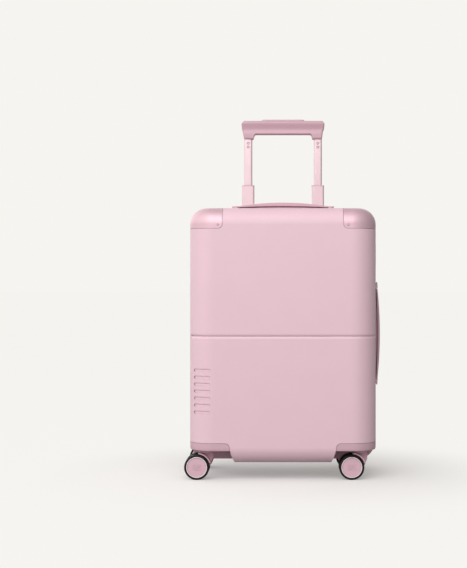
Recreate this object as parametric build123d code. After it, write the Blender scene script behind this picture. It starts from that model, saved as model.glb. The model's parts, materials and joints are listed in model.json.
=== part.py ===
from build123d import *
import os

# Hard-shell cabin suitcase on four twin-wheel casters, with a two-stage trolley handle.
# Millimetres. The origin is on the floor under the middle of the body, +Z is up, the front
# face looks towards -Y and the two halves part at y = 0.

os.makedirs("parts", exist_ok=True)

# Body
BODY_WIDTH = 365.0
BODY_DEPTH = 235.0
BODY_BOTTOM = 33.0
BODY_TOP = 530.0
CORNER_RADIUS = 48.0
EDGE_RADIUS = 32.0
WALL = 3.0
HALF_GAP = 3.5
TAPE_GAP = 0.15
HALF_WIDTH = BODY_WIDTH / 2
HALF_DEPTH = BODY_DEPTH / 2
BODY_MIDDLE = (BODY_BOTTOM + BODY_TOP) / 2
FAR = 260.0

# Groove round each face and the row of slots on the front left corner
GROOVE_Z = 280.0
GROOVE_HALF = 4.8
GROOVE_LIP = (0.35, 2.95)
GROOVE_SLOT = (1.2, 1.1)
GROOVE_DEPTH = 2.3
GROOVE_END_ANGLE = 20.0
SLOT_COUNT = 7
SLOT_LENGTH = 32.0
SLOT_HEIGHT = 6.0
SLOT_DEPTH = 1.2
SLOT_PITCH = 13.6
SLOT_X = -157.0
SLOT_REAR_Y = -60.0
SLOT_MIDDLE_Z = 173.0

# Corner guards and wheel housings
SKIN = 1.5
SEAM = 0.55
GUARD_X = 117.0
GUARD_Y = 52.0
GUARD_Z = 489.0
GUARD_CORNER = 9.0
HOUSING_X = 103.0
HOUSING_Y = 27.0
HOUSING_Z = 73.0
HOUSING_CORNER = 9.5
WELL_SIDE = 101.5
WELL_FOOT = 94.0
WELL_SHOULDER = 53.5
WELL_CEILING = 57.5
WELL_BACK = 33.5
WELL_WALL = 2.5
WELL_LIP = 2.2
RIVET_HEAD = 2.6
RIVET_SHANK = 1.6
RIVET_PROUD = 0.7

# Casters
CASTER_X = 151.0
CASTER_Y = 81.5
TRAIL = 17.0
AXLE_Z = 24.5
TYRE_RADIUS = 24.5
HUB_RADIUS = 20.5
WHEEL_INNER = 6.7
WHEEL_OUTER = 21.7
WEB_HALF = 6.3
AXLE_RADIUS = 2.0
KINGPIN_RADIUS = 4.0
RUNNING_FIT = 0.05
PLATE_BOTTOM = 51.5
PLATE_TOP = 56.5
BOSS_RADIUS = 8.0
BOSS_TOP = 74.0

# Trolley
TROLLEY_X = 72.7
TROLLEY_Y = 95.0
TUBE_WALL = 1.2
OUTER_TUBE = (29.5, 19.5)
MIDDLE_TUBE = (25.9, 15.9)
INNER_TUBE = (17.4, 11.4)
OUTER_TUBE_Z = (84.0, 493.0)
MIDDLE_TUBE_Z = (266.0, 585.5)
INNER_TUBE_Z = (378.0, 703.0)
TUBE_RIVETS_Z = (675.4, 667.4)
TUBE_RIVET_RADIUS = 2.25
TUBE_CORNER = 3.6
GLIDE_HEIGHT = 22.0
COLLAR_TOP = 587.5
GRIP_TOP = 722.0
GRIP_UNDERSIDE = 693.6
GRIP_EARS = 683.7
BUTTON_TOP = 724.9
BUTTON_LENGTH = 88.0
BUTTON_WIDTH = 12.0
BUTTON_TRAVEL = 3.5
RECESS_FLOOR = 495.5
RECESS_X = 91.5
RECESS_Y = (79.5, 110.5)
RECESS_WALL = 2.5

# Carry handles, in their own frame: X along the handle, Z away from the case
HANDLE_Y = (5.5, 32.5)
HANDLE_END = 104.0
HANDLE_END_HEIGHT = (7.6, 8.6, 9.4)
HANDLE_PAD = 5.2
HANDLE_CORE_GAP = 0.8
STRAP_END = 91.2
STRAP_HEIGHT = (6.2, 9.0)
STRAP_UNDER_RISE = 2.8
STRAP_EDGE = 1.2
TOP_HANDLE_RISE = 16.5
SIDE_HANDLE_RISE = 13.8
SOCKET_X = (80.0, 92.0)
SOCKET_Y = (11.0, 27.0)
SOCKET_DEPTH = 18.0
LEG_CLEARANCE = 0.5
LEG_WALL = 2.5
TOP_HANDLE = Pos(0, 0, BODY_TOP)
SIDE_HANDLE = Pos(HALF_WIDTH, 0, BODY_MIDDLE) * Rot(0, 90, 0)

# Lock and zipper
LOCK_PROUD = 2.5
LOCK_Y = (6.0, 34.0)
LOCK_Z = (408.0, 472.0)
LOCK_CORE_X = 166.0
LOCK_MARGIN = 3.0
DIAL_RADIUS = 8.6
DIAL_HALF = 2.6
DIAL_PROUD = 0.8
DIAL_Y = 20.0
DIAL_Z = (424.0, 433.0, 442.0)
DIAL_SHAFT = 1.5
LOCK_BUTTON_Z = (453.0, 465.0)
LOCK_BUTTON_Y = (13.0, 27.0)
LOCK_BUTTON_TRAVEL = 1.5
FIT_GAP = 0.4
TAPE_FACE = 1.0
TAPE_INNER = 4.4
TAPE_FLANGE = 8.5
UPPER_SLIDER_Z = 464.0
LOWER_SLIDER_Z = 416.0

# Lining, divider and straps
LINING_FACE = 5.0
LINING = 1.5
BACK_LINING_Y = 75.5
FRONT_LINING_Y = 112.3
WELL_COVER_X = 89.5
WELL_COVER_Y = 29.5
WELL_COVER_Z = 80.0
DIVIDER_Y = (-10.0, -8.0)
STRAP_Y = (4.5, 6.0)
STRAP_X = 62.0
STRAP_HALF = 12.5


def block(x, y, z):
    """A box between two limits on each axis."""
    centre = Pos((x[0] + x[1]) / 2, (y[0] + y[1]) / 2, (z[0] + z[1]) / 2)
    return centre * Box(x[1] - x[0], y[1] - y[0], z[1] - z[0])


def rounded(x, y, z, radius, axis=Axis.Z):
    """A box between limits, with its four edges along one axis rounded."""
    shape = block(x, y, z)
    return fillet(shape.edges().filter_by(axis), radius)


def prism(points, y, radius=0.0):
    """An outline in X and Z, with rounded corners, between two depths."""
    face = make_face(Polyline(*[(px, y[0], pz) for px, pz in points], close=True))
    if radius:
        face = fillet(face.vertices(), radius)
    return extrude(face, amount=y[1] - y[0], dir=(0, 1, 0))


def rod(radius, y, x=0.0, z=0.0):
    """A round bar along Y."""
    return Pos(x, (y[0] + y[1]) / 2, z) * Rot(90, 0, 0) * Cylinder(radius, y[1] - y[0])


def post(radius, z, x=0.0, y=0.0):
    """A round bar along Z."""
    return Pos(x, y, (z[0] + z[1]) / 2) * Cylinder(radius, z[1] - z[0])


def left(shape):
    """The same shape on the other side."""
    return mirror(shape, about=Plane.YZ)


def back(shape):
    """The same shape on the back half."""
    return mirror(shape, about=Plane.XZ)


def both_sides(shape):
    return [shape, left(shape)]


def case(inset):
    """The body's outer form, drawn in by an inset on every side."""
    shape = block(
        (inset - HALF_WIDTH, HALF_WIDTH - inset),
        (inset - HALF_DEPTH, HALF_DEPTH - inset),
        (BODY_BOTTOM + inset, BODY_TOP - inset),
    )
    shape = fillet(shape.edges().filter_by(Axis.Z), CORNER_RADIUS - inset)
    rims = shape.edges().group_by(Axis.Z)
    return fillet(rims[0] + rims[-1], EDGE_RADIUS - inset)


def corner_zone(corner, reach, radius):
    """A block from one corner outwards, with the three edges at that corner rounded."""
    spans = [(min(c, r), max(c, r)) for c, r in zip(corner, reach)]
    shape = block(*spans)
    near = Vertex(*corner)
    return fillet([edge for edge in shape.edges() if edge.distance_to(near) < 1e-6], radius)


def guard_zone(gap=0.0):
    corner = (GUARD_X + gap, -GUARD_Y - gap, GUARD_Z + gap)
    return corner_zone(corner, (FAR, -FAR, BODY_TOP + FAR), GUARD_CORNER)


def housing_zone(gap=0.0):
    corner = (HOUSING_X + gap, -HOUSING_Y - gap, HOUSING_Z - gap)
    return corner_zone(corner, (FAR, -FAR, BODY_BOTTOM - FAR), HOUSING_CORNER)


def well(grow=0.0):
    """The space that a caster swings in, at the front right, grown by a wall's thickness."""
    outline = [
        (FAR, WELL_CEILING + grow),
        (WELL_SIDE - grow, WELL_CEILING + grow),
        (WELL_SIDE - grow, WELL_SHOULDER),
        (WELL_FOOT - grow, BODY_BOTTOM),
        (WELL_FOOT - grow, BODY_BOTTOM - FAR),
        (FAR, BODY_BOTTOM - FAR),
    ]
    return prism(outline, (-FAR, grow - WELL_BACK))


OUTSIDE = case(0)
UNDER_SKIN = case(SKIN)
INSIDE = case(WALL)
SKIN_LAYER = OUTSIDE - UNDER_SKIN
OUTSIDE_SKIN = OUTSIDE.shells()[0]
FRONT_SPACE = block((-FAR, FAR), (-FAR, -HALF_GAP), (-FAR, BODY_TOP + FAR))


def groove_section(plane, whole=True):
    """The groove's outline: a narrow slot between soft lips, with X outwards and Y up."""
    lip, slot = GROOVE_LIP, GROOVE_SLOT
    upper = ThreePointArc((0, GROOVE_HALF), (-lip[0], lip[1]), (-slot[0], slot[1]))
    if whole:
        bottom = ThreePointArc((-slot[0], slot[1]), (-GROOVE_DEPTH, 0), (-slot[0], -slot[1]))
        lower = ThreePointArc((-slot[0], -slot[1]), (-lip[0], -lip[1]), (0, -GROOVE_HALF))
        outer = Polyline((0, -GROOVE_HALF), (1, -GROOVE_HALF), (1, GROOVE_HALF), (0, GROOVE_HALF))
        return plane * make_face([upper, bottom, lower, outer])
    turn = GROOVE_DEPTH - slot[0]
    bottom = ThreePointArc((-slot[0], slot[1]), (-slot[0] - 0.7 * turn, 0.7 * slot[1]), (-GROOVE_DEPTH, 0))
    outer = Polyline((-GROOVE_DEPTH, 0), (1, 0), (1, GROOVE_HALF), (0, GROOVE_HALF))
    return plane * make_face([upper, bottom, outer])


def groove():
    """The groove that runs across the front face and part of the way round its vertical corners."""
    flat = HALF_WIDTH - CORNER_RADIUS
    turn = HALF_DEPTH - CORNER_RADIUS
    reach = Vector(CORNER_RADIUS, 0, 0).rotate(Axis.Z, -GROOVE_END_ANGLE)
    middle = Vector(CORNER_RADIUS, 0, 0).rotate(Axis.Z, -GROOVE_END_ANGLE / 2 - 45)
    left_end = Vector(-flat - reach.X, -turn + reach.Y, GROOVE_Z)
    left_middle = Vector(-flat - middle.X, -turn + middle.Y, GROOVE_Z)
    path = ThreePointArc(left_end, left_middle, (-flat, -HALF_DEPTH, GROOVE_Z))
    path += Line(path @ 1, (flat, -HALF_DEPTH, GROOVE_Z))
    right_middle = (-left_middle.X, left_middle.Y, GROOVE_Z)
    path += ThreePointArc(path @ 1, right_middle, (-left_end.X, left_end.Y, GROOVE_Z))
    outward = Vector(-reach.X, reach.Y, 0).normalized()
    start = Plane(origin=left_end, x_dir=outward, z_dir=outward.rotate(Axis.Z, 90))
    cuts = [sweep(groove_section(start), path=path)]
    dimple = revolve(groove_section(start, whole=False), Axis(left_end, outward))
    return cuts + both_sides(dimple)


def slots():
    """The row of shallow slots on the front left corner."""
    depth_layer = case(SLOT_DEPTH)
    cuts = []
    for i in range(SLOT_COUNT):
        z = SLOT_MIDDLE_Z + (i - (SLOT_COUNT - 1) / 2) * SLOT_PITCH
        half_x = SLOT_LENGTH / 2
        half_z = SLOT_HEIGHT / 2
        span_x = (SLOT_X - half_x, SLOT_X + half_x)
        bar = rounded(span_x, (-FAR, SLOT_REAR_Y), (z - half_z, z + half_z), half_z - 0.05, Axis.Y)
        cuts.append(bar - depth_layer)
    return cuts


def half_shell():
    """The front half's wall, without its slots: the back half is its mirror image."""
    shell = (OUTSIDE - INSIDE) & FRONT_SPACE
    for cut in both_sides(guard_zone() - UNDER_SKIN):
        shell -= cut
    for cut in both_sides(housing_zone() - UNDER_SKIN):
        shell -= cut
    for cut in both_sides(well(WELL_WALL) & housing_zone()):
        shell -= cut
    for cut in both_sides(well()):
        shell -= cut
    for cut in groove():
        shell -= cut
    return shell


def top_guard():
    """The metal cap over one top corner, at the front right."""
    cap = SKIN_LAYER & guard_zone(SEAM)
    for rivet in guard_rivets():
        cap -= rivet
    return cap


def guard_rivets():
    """One rivet on each face of a corner guard, at the front right."""
    inward = WALL + RIVET_PROUD
    outline = Pos(0, 0, RIVET_PROUD / 2) * Cone(RIVET_HEAD, RIVET_HEAD * 0.7, RIVET_PROUD)
    shank = Pos(0, 0, -inward / 2) * Cylinder(RIVET_SHANK, inward)
    rivet = outline + shank
    places = [
        Pos(GUARD_X + 9.6, -HALF_DEPTH, GUARD_Z + 7.5) * Rot(90, 0, 0),
        Pos(GUARD_X + 9.6, -GUARD_Y - 9.6, BODY_TOP),
        Pos(HALF_WIDTH, -GUARD_Y - 8.5, GUARD_Z + 7.0) * Rot(0, 90, 0),
    ]
    return [place * rivet for place in places]


def wheel_housing():
    """The moulded corner with its wheel well and kingpin boss, at the front right."""
    inside_skin = well(WELL_WALL) & OUTSIDE & housing_zone(SEAM)
    liner = well(WELL_WALL) & INSIDE
    housing = (SKIN_LAYER & housing_zone(SEAM)) + inside_skin + liner
    housing -= well()
    housing = fillet([edge for edge in housing.edges() if on_well_rim(edge)], WELL_LIP)
    boss = post(BOSS_RADIUS, (WELL_CEILING, BOSS_TOP), CASTER_X, -CASTER_Y)
    bore = post(KINGPIN_RADIUS + RUNNING_FIT, (BODY_BOTTOM, BOSS_TOP + 1), CASTER_X, -CASTER_Y)
    return housing + boss - bore


def on_well_rim(edge):
    """Whether an edge is where the well's ceiling meets the body's outside."""
    at_ceiling = max(abs(edge.position_at(t).Z - WELL_CEILING) for t in (0.1, 0.5, 0.9)) < 0.01
    return at_ceiling and OUTSIDE_SKIN.distance_to(edge @ 0.5) < 0.01


def zipper_tape():
    """The front half's zipper tape: a face between the shells and a flange sewn inside one."""
    inner = case(TAPE_INNER)
    face = (case(TAPE_FACE) - inner) & block((-FAR, FAR), (-HALF_GAP, -TAPE_GAP), (-FAR, BODY_TOP + FAR))
    flange = (INSIDE - inner) & block((-FAR, FAR), (-TAPE_FLANGE, -HALF_GAP), (-FAR, BODY_TOP + FAR))
    return face + flange


def lining_bumps(grow):
    """What stands into the back half: handle sockets and the lock's core."""
    bumps = []
    for place in (TOP_HANDLE, SIDE_HANDLE):
        for side in (1, -1):
            x = sorted((side * (SOCKET_X[0] - grow), side * (SOCKET_X[1] + grow)))
            y = (SOCKET_Y[0] - grow, SOCKET_Y[1] + grow)
            bumps.append(place * block(x, y, (-SOCKET_DEPTH - grow, SOCKET_DEPTH)))
    core_y = (LOCK_Y[0] + LOCK_MARGIN - grow, LOCK_Y[1] - LOCK_MARGIN + grow)
    core_z = (LOCK_Z[0] + LOCK_MARGIN - grow, LOCK_Z[1] - LOCK_MARGIN + grow)
    bumps.append(block((LOCK_CORE_X - grow, FAR), core_y, core_z))
    return bumps


def lining(depth, with_bumps):
    """A cloth tray that covers the inside of the front half, down to a given depth."""
    cloth = None
    for grow, top in ((0.0, -1.0), (LINING, 0.0)):
        tray = case(LINING_FACE + grow) & block((-FAR, FAR), (grow - depth, top), (-FAR, BODY_TOP + FAR))
        cover = block((WELL_COVER_X - grow, FAR), (-FAR, grow - WELL_COVER_Y), (-FAR, WELL_COVER_Z + grow))
        for wheel_cover in both_sides(cover):
            tray -= wheel_cover
        if with_bumps:
            for bump in lining_bumps(1.5 + grow):
                tray -= back(bump)
        cloth = tray if cloth is None else cloth - tray
    return cloth


def tube(size, z, wall=TUBE_WALL):
    """One trolley tube, on the right."""
    return bar(size, z) - bar((size[0] - 2 * wall, size[1] - 2 * wall), (z[0] - 1, z[1] + 1), wall)


def bar(size, z, inset=0.0):
    """A solid rounded bar on the right trolley axis."""
    x = (TROLLEY_X - size[0] / 2, TROLLEY_X + size[0] / 2)
    y = (TROLLEY_Y - size[1] / 2, TROLLEY_Y + size[1] / 2)
    return rounded(x, y, z, TUBE_CORNER - inset)


def outer_tubes():
    """The fixed tubes, their foot bar and the upper brace, all fastened to the back shell."""
    tubes = both_sides(tube(OUTER_TUBE, OUTER_TUBE_Z))
    reach = TROLLEY_X + OUTER_TUBE[0] / 2 + 4
    rear = TROLLEY_Y + OUTER_TUBE[1] / 2
    shape = tubes[0] + tubes[1]
    for z in ((OUTER_TUBE_Z[0], OUTER_TUBE_Z[0] + 22), (440, 458)):
        shape += block((-reach, reach), (rear - 0.4, HALF_DEPTH - WALL), z)
    foot = block((-reach, reach), (TROLLEY_Y - 10, rear), (OUTER_TUBE_Z[0] - 4, OUTER_TUBE_Z[0]))
    return shape + foot


def middle_tubes():
    """The sliding middle tubes, each with a glide at its foot."""
    glide_z = (MIDDLE_TUBE_Z[0], MIDDLE_TUBE_Z[0] + GLIDE_HEIGHT)
    glide = bar((MIDDLE_TUBE[0] + 0.6, MIDDLE_TUBE[1] + 0.6), glide_z)
    one = tube(MIDDLE_TUBE, MIDDLE_TUBE_Z) + (glide - bar(hollow(MIDDLE_TUBE), (0, FAR * 3), TUBE_WALL))
    return one + left(one)


def hollow(size):
    return (size[0] - 2 * TUBE_WALL, size[1] - 2 * TUBE_WALL)


def collars():
    """The plug in the top of each middle tube, which guides the inner tube."""
    bore = bar((INNER_TUBE[0] + 0.6, INNER_TUBE[1] + 0.6), (0, FAR * 3))
    sleeve = bar(hollow(MIDDLE_TUBE), (MIDDLE_TUBE_Z[1] - GLIDE_HEIGHT, MIDDLE_TUBE_Z[1]), TUBE_WALL)
    rim = bar(MIDDLE_TUBE, (MIDDLE_TUBE_Z[1], COLLAR_TOP))
    one = sleeve + rim - bore
    return one + left(one)


def tube_rivets(grow=0.0):
    """The flush rivets through each inner tube, below the grip."""
    half = INNER_TUBE[1] / 2
    y = (TROLLEY_Y - half, TROLLEY_Y + half)
    rivets = [rod(TUBE_RIVET_RADIUS + grow, y, x, z) for x in (TROLLEY_X, -TROLLEY_X) for z in TUBE_RIVETS_Z]
    return rivets


def inner_tubes():
    """The upper tubes, each with a glide at its foot."""
    size = hollow(MIDDLE_TUBE)
    glide = bar((size[0] - 0.6, size[1] - 0.6), (INNER_TUBE_Z[0], INNER_TUBE_Z[0] + GLIDE_HEIGHT), TUBE_WALL)
    bore = bar(hollow(INNER_TUBE), (0, FAR * 3), TUBE_WALL)
    one = tube(INNER_TUBE, INNER_TUBE_Z) + (glide - bore)
    tubes = one + left(one)
    for rivet in tube_rivets():
        tubes -= rivet
    return tubes


def grip():
    """The trolley grip: a waisted bar with an ear round each inner tube."""
    top = GRIP_TOP
    front_outline = [
        (-83.0, top), (83.0, top), (86.8, top - 8), (86.0, top - 15), (82.6, top - 25),
        (81.6, GRIP_EARS), (61.7, GRIP_EARS), (61.7, GRIP_UNDERSIDE),
        (-61.7, GRIP_UNDERSIDE), (-61.7, GRIP_EARS), (-81.6, GRIP_EARS), (-82.6, top - 25),
        (-86.0, top - 15), (-86.8, top - 8),
    ]
    front = prism(front_outline, (TROLLEY_Y - 20, TROLLEY_Y + 20), 2.4)
    half_section = [(8.0, top), (13.0, top - 4), (11.2, top - 16), (12.2, top - 25), (10.4, GRIP_EARS)]
    section = half_section + [(-y, z) for y, z in reversed(half_section)]
    line = Polyline(*[(-100, TROLLEY_Y + y, z) for y, z in section], close=True)
    face = make_face(line)
    face = fillet(face.vertices().sort_by(Axis.Z)[2:], 3.0)
    shape = front & extrude(face, amount=200, dir=(1, 0, 0))
    for side in both_sides(bar(INNER_TUBE, (0, INNER_TUBE_Z[1]))):
        shape -= side
    pocket_depth = BUTTON_TRAVEL + 5
    return shape - button_outline(FIT_GAP, (top - pocket_depth, top + 5))


def button_outline(grow, z):
    half_x = BUTTON_LENGTH / 2 + grow
    half_y = BUTTON_WIDTH / 2 + grow
    y = (TROLLEY_Y - half_y, TROLLEY_Y + half_y)
    return rounded((-half_x, half_x), y, z, half_y - 0.05)


def trolley_button():
    """The long release button in the top of the grip."""
    shape = button_outline(0, (GRIP_TOP - 4.5, BUTTON_TOP))
    return fillet(shape.edges().group_by(Axis.Z)[-1], 1.6)


def trolley_bezel():
    """The sunk tray that the grip folds into, open at the top."""
    tray = bezel_block() & OUTSIDE
    cavity_z = (RECESS_FLOOR, BODY_TOP + 5)
    tray -= rounded((-RECESS_X, RECESS_X), RECESS_Y, cavity_z, 7.0)
    for hole in both_sides(bar((MIDDLE_TUBE[0] + 1.2, MIDDLE_TUBE[1] + 1.2), (400, 520))):
        tray -= hole
    return tray


def bezel_block():
    wall = RECESS_WALL
    y = (RECESS_Y[0] - wall, RECESS_Y[1] + wall)
    return rounded((-RECESS_X - wall, RECESS_X + wall), y, (RECESS_FLOOR - wall, BODY_TOP + 5), 9.5)


def socket_spans(inset):
    y = (SOCKET_Y[0] + inset, SOCKET_Y[1] - inset)
    right = (SOCKET_X[0] + inset, SOCKET_X[1] - inset)
    return [(right, y), ((-right[1], -right[0]), y)]


def arch(low, rise, reach, y):
    """A block with an arched top, from the case's surface upwards."""
    top = ThreePointArc((-reach, y[0], low), (0, y[0], low + rise), (reach, y[0], low))
    foot = Polyline((reach, y[0], low), (reach, y[0], 0), (-reach, y[0], 0), (-reach, y[0], low))
    return extrude(make_face([top, foot]), amount=y[1] - y[0], dir=(0, 1, 0))


def handle_base():
    """A carry handle's mount: a pad, a core under the strap, an overhanging tip at each end and a
    socket for each leg."""
    base = rounded((-HANDLE_END + 9, HANDLE_END - 9), HANDLE_Y, (0, HANDLE_PAD), 6.0)
    base += arch(STRAP_HEIGHT[0] - HANDLE_CORE_GAP, STRAP_UNDER_RISE, STRAP_END - 1, SOCKET_Y)
    inner = STRAP_END + 0.6
    tip_low, tip_high, root_high = HANDLE_END_HEIGHT
    outline = [
        (inner, 0), (HANDLE_END - 8, 0), (HANDLE_END - 7, HANDLE_PAD), (HANDLE_END, tip_low),
        (HANDLE_END, tip_high), (inner, root_high),
    ]
    end = prism(outline, HANDLE_Y)
    end = fillet(end.edges().filter_by(Axis.Z).sort_by(Axis.X)[-2:], 6.0)
    base += end + left(end)
    for x, y in socket_spans(0):
        base += block(x, y, (-SOCKET_DEPTH, 0))
    for x, y in socket_spans(LEG_WALL):
        base -= block(x, y, (-SOCKET_DEPTH + 2, 10))
    return base


def handle_strap(rise):
    """A carry handle's arched strap with the two legs that slide in the sockets."""
    low, high = STRAP_HEIGHT
    y = HANDLE_Y
    top = ThreePointArc((-STRAP_END, y[0], high), (0, y[0], rise), (STRAP_END, y[0], high))
    right = Line((STRAP_END, y[0], high), (STRAP_END, y[0], low))
    under = ThreePointArc((STRAP_END, y[0], low), (0, y[0], low + STRAP_UNDER_RISE), (-STRAP_END, y[0], low))
    side = Line((-STRAP_END, y[0], low), (-STRAP_END, y[0], high))
    strap = extrude(make_face([top, right, under, side]), amount=y[1] - y[0], dir=(0, 1, 0))
    strap = fillet(strap.edges().filter_by(GeomType.CIRCLE), STRAP_EDGE)
    for x, y in socket_spans(LEG_WALL + LEG_CLEARANCE):
        strap += block(x, y, (-SOCKET_DEPTH + 2.5, low + 1.5))
    return strap


def lock_housing():
    """The lock's face plate and core, with slots for three dials and a button."""
    face_x = HALF_WIDTH + LOCK_PROUD
    plate = rounded((HALF_WIDTH, face_x), LOCK_Y, LOCK_Z, 5.0, Axis.X)
    plate = fillet(plate.edges().group_by(Axis.X)[-1], 1.2)
    housing = plate + lock_core()
    for z in DIAL_Z:
        half = DIAL_HALF + FIT_GAP
        reach = DIAL_RADIUS + FIT_GAP
        housing -= post(reach, (z - half, z + half), dial_x(), DIAL_Y)
    housing += post(DIAL_SHAFT, (DIAL_Z[0] - 5, DIAL_Z[-1] + 5), dial_x(), DIAL_Y)
    y = (LOCK_BUTTON_Y[0] - FIT_GAP, LOCK_BUTTON_Y[1] + FIT_GAP)
    z = (LOCK_BUTTON_Z[0] - FIT_GAP, LOCK_BUTTON_Z[1] + FIT_GAP)
    return housing - rounded((HALF_WIDTH - 6, FAR), y, z, 3.4, Axis.X)


def dial_x():
    return HALF_WIDTH + LOCK_PROUD + DIAL_PROUD - DIAL_RADIUS


def lock_core():
    y = (LOCK_Y[0] + LOCK_MARGIN, LOCK_Y[1] - LOCK_MARGIN)
    z = (LOCK_Z[0] + LOCK_MARGIN, LOCK_Z[1] - LOCK_MARGIN)
    return block((LOCK_CORE_X, HALF_WIDTH), y, z)


def lock_dial(z):
    """A number dial with ten notches in its rim."""
    dial = post(DIAL_RADIUS, (z - DIAL_HALF, z + DIAL_HALF), dial_x(), DIAL_Y)
    dial = fillet(dial.edges(), 0.5)
    for i in range(10):
        notch = Pos(DIAL_RADIUS, 0, 0) * Cylinder(0.7, 4 * DIAL_HALF)
        dial -= Pos(dial_x(), DIAL_Y, z) * Rot(0, 0, 36 * i + 18) * notch
    return dial - post(DIAL_SHAFT + RUNNING_FIT, (z - 10, z + 10), dial_x(), DIAL_Y)


def lock_button():
    face = HALF_WIDTH + LOCK_PROUD + 0.6
    shape = rounded((HALF_WIDTH - 4, face), LOCK_BUTTON_Y, LOCK_BUTTON_Z, 3.0, Axis.X)
    return fillet(shape.edges().group_by(Axis.X)[-1], 0.8)


def zipper_slider(z, tab_way):
    """A slider over the zipper's right run, with its pull tab pointing up (1) or down (-1)."""
    floor = HALF_WIDTH + 0.4
    body = rounded((floor, floor + 2.2), (-4.4, 4.4), (z - 7, z + 7), 2.0, Axis.X)
    body += rounded((floor + 2.2, floor + 3.0), (-1.6, 1.6), (z - 5, z + 5), 0.7, Axis.X)
    span = sorted((z + tab_way * 2.0, z + tab_way * 24.0))
    tab = rounded((floor + 3.0, floor + 4.4), (-3.4, 3.4), span, 2.4, Axis.X)
    eye_z = z + tab_way * 20.5
    return body + tab - Pos(floor, 0, eye_z) * Rot(0, 90, 0) * Cylinder(1.3, 20)


def fork():
    """A caster's fork at its own swivel axis, with the wheels trailing towards -X."""
    web_outline = [(14, 52), (14, 41), (9, 27.5), (-6, 16.5), (-24, 16.5), (-26, 30), (-13, 52)]
    shape = prism(web_outline, (-WEB_HALF, WEB_HALF), 3.0)
    shape += post(14.0, (PLATE_BOTTOM, PLATE_TOP))
    ring = rod(28.6, (-20.4, 20.4), -TRAIL, AXLE_Z) - rod(26.0, (-FAR, FAR), -TRAIL, AXLE_Z)
    sector = prism([(-TRAIL, AXLE_Z), (40, AXLE_Z + 20), (40, 90), (-TRAIL + 8, 90)], (-FAR, FAR))
    shape += ring & sector
    shape -= rod(AXLE_RADIUS, (-FAR, FAR), -TRAIL, AXLE_Z)
    return shape - post(KINGPIN_RADIUS, (PLATE_BOTTOM - 10, PLATE_TOP + 1))


def pins():
    """The kingpin with its washer and retaining head, and the wheels' axle."""
    kingpin = post(KINGPIN_RADIUS, (PLATE_BOTTOM - 10, BOSS_TOP + 2))
    washer = post(KINGPIN_RADIUS + 3, (PLATE_TOP, WELL_CEILING - 0.3))
    head = post(KINGPIN_RADIUS + 2.5, (BOSS_TOP + 0.3, BOSS_TOP + 3))
    axle = rod(AXLE_RADIUS, (-WHEEL_OUTER + 4, WHEEL_OUTER - 4), -TRAIL, AXLE_Z)
    return [kingpin + washer + head, axle]


def hub():
    """The wheel disc on the +Y side: a dished face with a raised rim and three ribs."""
    disc = rod(HUB_RADIUS, (WHEEL_INNER, WHEEL_OUTER), -TRAIL, AXLE_Z)
    disc = fillet(disc.edges().group_by(Axis.Y)[-1], 1.0)
    disc -= rod(HUB_RADIUS - 2.2, (WHEEL_OUTER - 0.6, WHEEL_OUTER + 5), -TRAIL, AXLE_Z)
    for i in range(3):
        z = AXLE_Z + (i - 1) * 4.0
        x = (-TRAIL - 8, -TRAIL + 8)
        disc += rounded(x, (WHEEL_OUTER - 0.8, WHEEL_OUTER - 0.1), (z - 0.8, z + 0.8), 0.7, Axis.Y)
    return disc - rod(AXLE_RADIUS + RUNNING_FIT, (0, WHEEL_OUTER - 3.5), -TRAIL, AXLE_Z)


def tyre():
    """The rubber tread round the disc on the +Y side."""
    ring = rod(TYRE_RADIUS, (WHEEL_INNER, WHEEL_OUTER), -TRAIL, AXLE_Z)
    ring = fillet(ring.edges(), 2.4)
    return ring - rod(HUB_RADIUS, (0, FAR), -TRAIL, AXLE_Z)


def divider():
    """The cloth panel that closes the front half."""
    return case(LINING_FACE + LINING + 1.0) & block((-FAR, FAR), DIVIDER_Y, (-FAR, BODY_TOP + FAR))


def compression_straps():
    """Two packing straps across the back half, each with a buckle."""
    inner = LINING_FACE + LINING
    z = (BODY_BOTTOM + inner + 0.5, BODY_TOP - inner - 0.5)
    pieces = []
    for x in (-STRAP_X, STRAP_X):
        strap = block((x - STRAP_HALF, x + STRAP_HALF), STRAP_Y, z)
        buckle_y = (STRAP_Y[0] - 2.2, STRAP_Y[1] + 1.5)
        buckle = rounded((x - 18, x + 18), buckle_y, (BODY_MIDDLE - 26, BODY_MIDDLE + 26), 6.0, Axis.Y)
        pieces.append(strap + buckle)
    return pieces


def save(name, shape):
    """Write one node, as one solid or as a group of separate solids."""
    solids = []
    for item in shape if isinstance(shape, list) else [shape]:
        solids.extend(item.solids())
    whole = solids[0] if len(solids) == 1 else Compound(children=solids)
    export_step(whole, f"parts/{name}.step")


def save_halves():
    """Both halves' shells, guards, housings, rivets and tapes."""
    plain = half_shell()
    guard = top_guard()
    housing = wheel_housing()
    rivets = guard_rivets()
    for rivet in rivets + [left(r) for r in rivets]:
        plain -= rivet
    front_shell = plain
    for cut in slots():
        front_shell -= cut
    back_shell = back(plain) - bezel_block() - lock_core()
    for place in (TOP_HANDLE, SIDE_HANDLE):
        for x, y in socket_spans(0):
            back_shell -= place * block(x, y, (-SOCKET_DEPTH, 1))
    save("front_shell", front_shell)
    save("back_shell", back_shell)
    tape = zipper_tape()
    for half, turn in (("front", lambda shape: shape), ("back", back)):
        save(f"{half}_right_top_guard", turn(guard))
        save(f"{half}_left_top_guard", turn(left(guard)))
        save(f"{half}_right_wheel_housing", turn(housing))
        save(f"{half}_left_wheel_housing", turn(left(housing)))
        save(f"{half}_rivets", [turn(r) for r in rivets] + [turn(left(r)) for r in rivets])
        save(f"{half}_zipper_tape", turn(tape))
    save("front_lining", lining(FRONT_LINING_Y, False))
    save("back_lining", back(lining(BACK_LINING_Y, True)))
    save("divider_panel", divider())
    save("compression_straps", compression_straps())


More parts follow.
